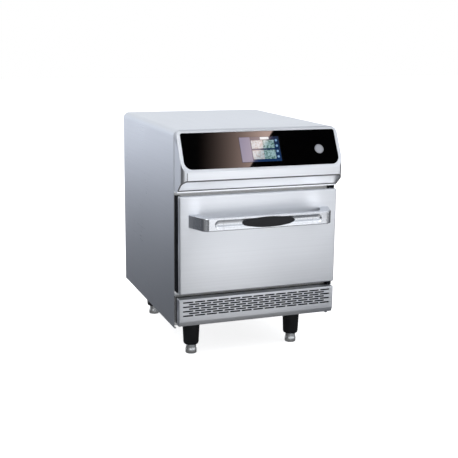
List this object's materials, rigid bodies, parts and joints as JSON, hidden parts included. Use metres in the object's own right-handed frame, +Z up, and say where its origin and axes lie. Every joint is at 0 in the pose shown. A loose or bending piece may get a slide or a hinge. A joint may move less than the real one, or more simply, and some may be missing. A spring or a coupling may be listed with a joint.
{
  "type": "speed oven",
  "caption": "Countertop speed oven with a drop-down door, a sloping glass control panel, a slotted lower panel and adjustable legs.",
  "frame": {"origin": "middle of the footprint, on the floor under the feet", "axes": "+Z up, -Y towards the door and whoever stands in front of it, +X towards their right"},
  "size_m": [0.44, 0.619, 0.617],
  "materials": {
    "brushed_stainless": "fine brushed stainless sheet",
    "inner_steel": "plain stainless sheet",
    "galvanised_sheet": "galvanised sheet",
    "polished_metal": "polished metal",
    "black_plastic": "black satin plastic",
    "black_glass": "opaque black glass, glossy",
    "screen": "lit colour screen under glass",
    "circuit_board": "green circuit board",
    "seal": "dark seal",
    "wool": "mineral wool",
    "dark_steel": "dark coated steel",
    "ceramic": "porous ceramic"
  },
  "bodies": {
    "cabinet": {"back_panel": "galvanised_sheet", "base_pan": "galvanised_sheet", "button_ring": "polished_metal", "cable_gland": "black_plastic", "catalyst_block": "ceramic", "cavity_liner": "inner_steel", "control_backplate": "black_plastic", "control_board": "circuit_board", "control_glass": "black_glass", "cooling_fan_frame": "black_plastic", "display_board": "circuit_board", "fan_housing": "galvanised_sheet", "fan_motor": "dark_steel", "front_column_left": "black_plastic", "front_column_right": "black_plastic", "front_frame": "brushed_stainless", "header_shell": "brushed_stainless", "heating_element": "dark_steel", "hinge_bracket_left": "dark_steel", "hinge_bracket_right": "dark_steel", "hv_capacitor": "galvanised_sheet", "hv_transformer": "dark_steel", "insulation_jacket": "wool", "leg_sleeve_front_left": "black_plastic", "leg_sleeve_front_right": "black_plastic", "leg_sleeve_rear_left": "black_plastic", "leg_sleeve_rear_right": "black_plastic", "lower_jet_plate": "inner_steel", "magnetron": "dark_steel", "outer_wrapper": "brushed_stainless", "oven_rack": "polished_metal", "rack_rail_left": "inner_steel", "rack_rail_right": "inner_steel", "service_shelf": "galvanised_sheet", "stirrer_motor": "galvanised_sheet", "touch_display": "screen", "upper_jet_plate": "inner_steel", "waveguide": "galvanised_sheet"},
    "door": {"door_skin": "brushed_stainless", "door_inner_tray": "black_plastic", "door_insulation": "wool", "door_inner_panel": "inner_steel", "door_gasket": "seal", "handle_bar": "polished_metal", "handle_arm_left": "polished_metal", "handle_arm_right": "polished_metal", "handle_insert": "black_plastic", "hinge_pin_left": "polished_metal", "hinge_pin_right": "polished_metal"},
    "power_button": {"power_button": "polished_metal"},
    "convection_fan": {"convection_impeller": "inner_steel", "fan_shaft": "polished_metal"},
    "cooling_fan": {"cooling_fan_blades": "black_plastic"},
    "stirrer": {"mode_stirrer": "polished_metal"},
    "grille": {"grille_panel": "brushed_stainless", "air_filter": "black_plastic"},
    "foot_front_left": {"leg_foot_front_left": "polished_metal"},
    "foot_front_right": {"leg_foot_front_right": "polished_metal"},
    "foot_rear_left": {"leg_foot_rear_left": "polished_metal"},
    "foot_rear_right": {"leg_foot_rear_right": "polished_metal"}
  },
  "joints": [
    {"name": "door_hinge", "type": "hinge", "parent": "cabinet", "child": "door", "pos_m": [0, -0.2415, 0.208], "axis": [1, 0, 0], "range_deg": [0, 90], "stiffness_Nm_per_rad": 2.8, "springref_deg": -12.61},
    {"name": "power_button_press", "type": "slide", "parent": "cabinet", "child": "power_button", "axis": [0, 0.8873, -0.4612], "range_m": [0, 0.0025], "stiffness_N_per_m": 600},
    {"name": "convection_fan_spin", "type": "hinge", "parent": "cabinet", "child": "convection_fan", "pos_m": [0, 0.1228, 0.3255], "axis": [0, 1, 0], "continuous": true},
    {"name": "cooling_fan_spin", "type": "hinge", "parent": "cabinet", "child": "cooling_fan", "pos_m": [0, -0.169, 0.1508], "axis": [0, 1, 0], "continuous": true},
    {"name": "stirrer_spin", "type": "hinge", "parent": "cabinet", "child": "stirrer", "pos_m": [0, -0.0437, 0.426], "axis": [0, 0, 1], "continuous": true},
    {"name": "grille_pull", "type": "slide", "parent": "cabinet", "child": "grille", "axis": [0, -1, 0], "range_m": [0, 0.04]},
    {"name": "foot_screw_front_left", "type": "slide", "parent": "cabinet", "child": "foot_front_left", "axis": [0, 0, -1], "range_m": [0, 0.02]},
    {"name": "foot_screw_front_right", "type": "slide", "parent": "cabinet", "child": "foot_front_right", "axis": [0, 0, -1], "range_m": [0, 0.02]},
    {"name": "foot_screw_rear_left", "type": "slide", "parent": "cabinet", "child": "foot_rear_left", "axis": [0, 0, -1], "range_m": [0, 0.02]},
    {"name": "foot_screw_rear_right", "type": "slide", "parent": "cabinet", "child": "foot_rear_right", "axis": [0, 0, -1], "range_m": [0, 0.02]}
  ]
}
